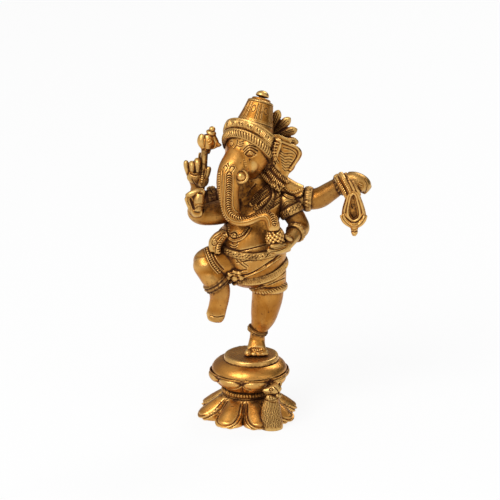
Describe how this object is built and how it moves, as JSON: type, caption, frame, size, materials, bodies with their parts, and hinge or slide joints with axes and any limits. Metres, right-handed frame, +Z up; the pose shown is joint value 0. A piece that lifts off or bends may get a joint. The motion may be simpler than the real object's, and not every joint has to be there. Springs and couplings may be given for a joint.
{
  "type": "ganesha idol",
  "caption": "Cast brass idol of an elephant-headed dancer on a raised foot over a lotus pedestal with a mouse; a free-standing shelf ornament.",
  "frame": {"origin": "middle of the pedestal on the flat face it rests on", "axes": "+Z up, -Y towards the viewer, +X towards the figure's left hand"},
  "size_m": [0.1248, 0.0702, 0.2283],
  "materials": {
    "cast_brass": "polished on the heights, dark brown patina in the hollows",
    "polished_brass": "polished",
    "ornament_brass": "engraved, patina left in the lines",
    "fastener_brass": "turned, unpolished"
  },
  "bodies": {
    "root": {"lotus_skirt": "cast_brass", "neck_ring": "ornament_brass", "lotus_bowl": "cast_brass", "seat_disc": "polished_brass", "foot_plate": "polished_brass", "mouse": "cast_brass", "tie_stud": "fastener_brass", "stud_washer": "fastener_brass", "stud_nut": "fastener_brass", "standing_leg": "cast_brass", "anklet": "ornament_brass", "raised_leg": "cast_brass", "torso": "cast_brass", "hip_sash": "ornament_brass", "belly_band": "ornament_brass", "necklace": "ornament_brass", "head": "cast_brass", "left_tusk": "polished_brass", "right_tusk": "polished_brass", "left_ear": "cast_brass", "right_ear": "cast_brass", "crown": "cast_brass", "crown_band": "ornament_brass", "crown_finial": "polished_brass", "halo": "ornament_brass", "rear_right_arm": "cast_brass", "axe": "polished_brass", "front_right_arm": "cast_brass", "rear_left_arm": "cast_brass", "noose": "polished_brass", "front_left_arm": "cast_brass", "sweet_bowl": "polished_brass", "rear_left_armlet": "ornament_brass", "rear_left_bracelet": "ornament_brass", "front_left_armlet": "ornament_brass", "front_left_bracelet": "ornament_brass", "rear_right_armlet": "ornament_brass", "raised_cuff": "ornament_brass"}
  },
  "joints": []
}
